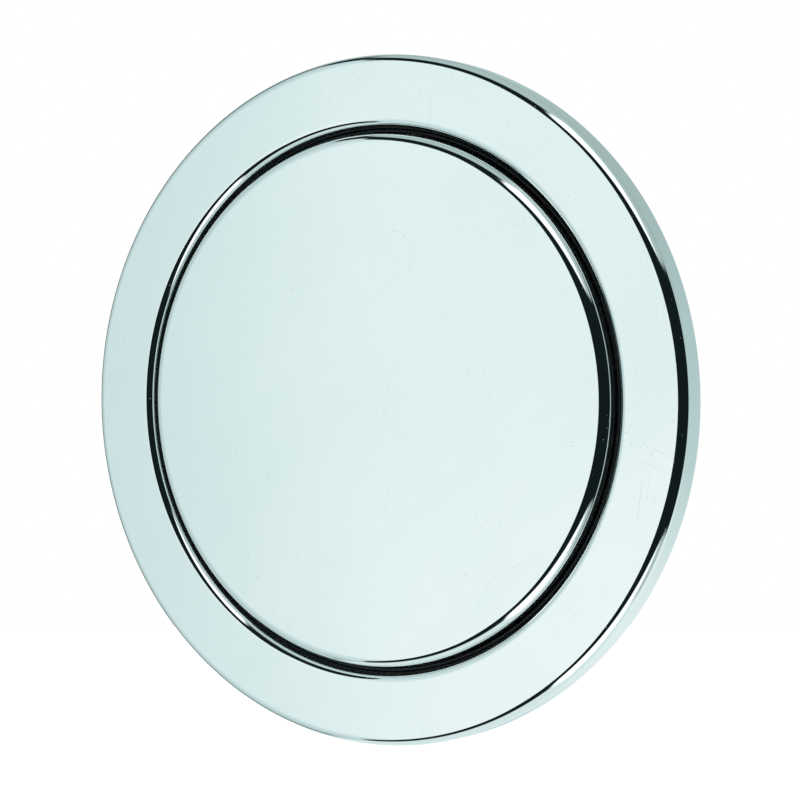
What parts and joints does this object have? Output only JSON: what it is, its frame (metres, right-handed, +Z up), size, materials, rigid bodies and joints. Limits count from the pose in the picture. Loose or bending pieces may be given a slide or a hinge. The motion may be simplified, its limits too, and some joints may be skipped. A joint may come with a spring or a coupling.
{
  "type": "opening porthole",
  "caption": "Round opening porthole with a thick polished flange ring, a flush blank polished lid hinged at the top, and screw-down dogs on the inside.",
  "frame": {"origin": "centre of the flange's back face, on the porthole's axis", "axes": "+Y inboard along the porthole's axis, +Z up towards the hinge, +X to the right seen from outboard"},
  "size_m": [0.23, 0.0487, 0.23],
  "materials": {
    "polished_steel": "mirror polished stainless steel with fine scratches",
    "satin_steel": "satin stainless steel casting",
    "fastener_steel": "turned stainless steel",
    "seal_rubber": "matt black moulded rubber",
    "knob_plastic": "black moulded plastic, lightly textured",
    "bush_nylon": "natural nylon"
  },
  "bodies": {
    "frame": {"outer_frame": "polished_steel", "hull_gasket": "seal_rubber", "clamp_ring": "satin_steel", "clamp_screw_1": "fastener_steel", "clamp_screw_2": "fastener_steel", "clamp_screw_3": "fastener_steel", "clamp_screw_4": "fastener_steel", "clamp_screw_5": "fastener_steel", "clamp_screw_6": "fastener_steel", "clamp_screw_7": "fastener_steel", "clamp_screw_8": "fastener_steel", "hinge_pin": "fastener_steel", "hinge_clip": "fastener_steel", "dog_right_pin": "fastener_steel", "dog_left_pin": "fastener_steel"},
    "lid": {"lid_plate": "polished_steel", "lid_frame": "satin_steel", "lid_seal": "seal_rubber", "plate_gasket": "seal_rubber", "lid_screw_1": "fastener_steel", "lid_screw_2": "fastener_steel", "lid_screw_3": "fastener_steel", "lid_screw_4": "fastener_steel", "lid_screw_5": "fastener_steel", "lid_screw_6": "fastener_steel", "hinge_bush_right": "bush_nylon", "hinge_bush_left": "bush_nylon"},
    "dog_right": {"dog_right_bolt": "fastener_steel", "dog_right_clip": "fastener_steel"},
    "dog_right_slider": {"dog_right_washer": "fastener_steel"},
    "dog_right_hand": {"dog_right_knob": "knob_plastic"},
    "dog_left": {"dog_left_bolt": "fastener_steel", "dog_left_clip": "fastener_steel"},
    "dog_left_slider": {"dog_left_washer": "fastener_steel"},
    "dog_left_hand": {"dog_left_knob": "knob_plastic"}
  },
  "joints": [
    {"name": "lid_swing", "type": "hinge", "parent": "frame", "child": "lid", "pos_m": [0, 0.0215, 0.1], "axis": [1, 0, 0], "range_deg": [0, 100]},
    {"name": "dog_right_swing", "type": "hinge", "parent": "frame", "child": "dog_right", "pos_m": [0.0505, 0.023, -0.08747], "axis": [0.5, 0, -0.866], "range_deg": [0, 86]},
    {"name": "dog_right_travel", "type": "slide", "parent": "dog_right", "child": "dog_right_slider", "axis": [0.8639, -0.0698, 0.4988], "range_m": [0, 0.003]},
    {"name": "dog_right_turn", "type": "hinge", "parent": "dog_right_slider", "child": "dog_right_hand", "pos_m": [0.0505, 0.023, -0.08747], "axis": [0.8639, -0.0698, 0.4988], "range_deg": [0, 1080]},
    {"name": "dog_left_swing", "type": "hinge", "parent": "frame", "child": "dog_left", "pos_m": [-0.0505, 0.023, -0.08747], "axis": [0.5, 0, 0.866], "range_deg": [0, 86]},
    {"name": "dog_left_travel", "type": "slide", "parent": "dog_left", "child": "dog_left_slider", "axis": [-0.8639, -0.0698, 0.4988], "range_m": [0, 0.003]},
    {"name": "dog_left_turn", "type": "hinge", "parent": "dog_left_slider", "child": "dog_left_hand", "pos_m": [-0.0505, 0.023, -0.08747], "axis": [-0.8639, -0.0698, 0.4988], "range_deg": [0, 1080]}
  ],
  "couplings": [
    {"joint": "dog_right_turn", "follows": "dog_right_travel", "rad_per_m": 6283.1},
    {"joint": "dog_left_turn", "follows": "dog_left_travel", "rad_per_m": 6283.1}
  ]
}
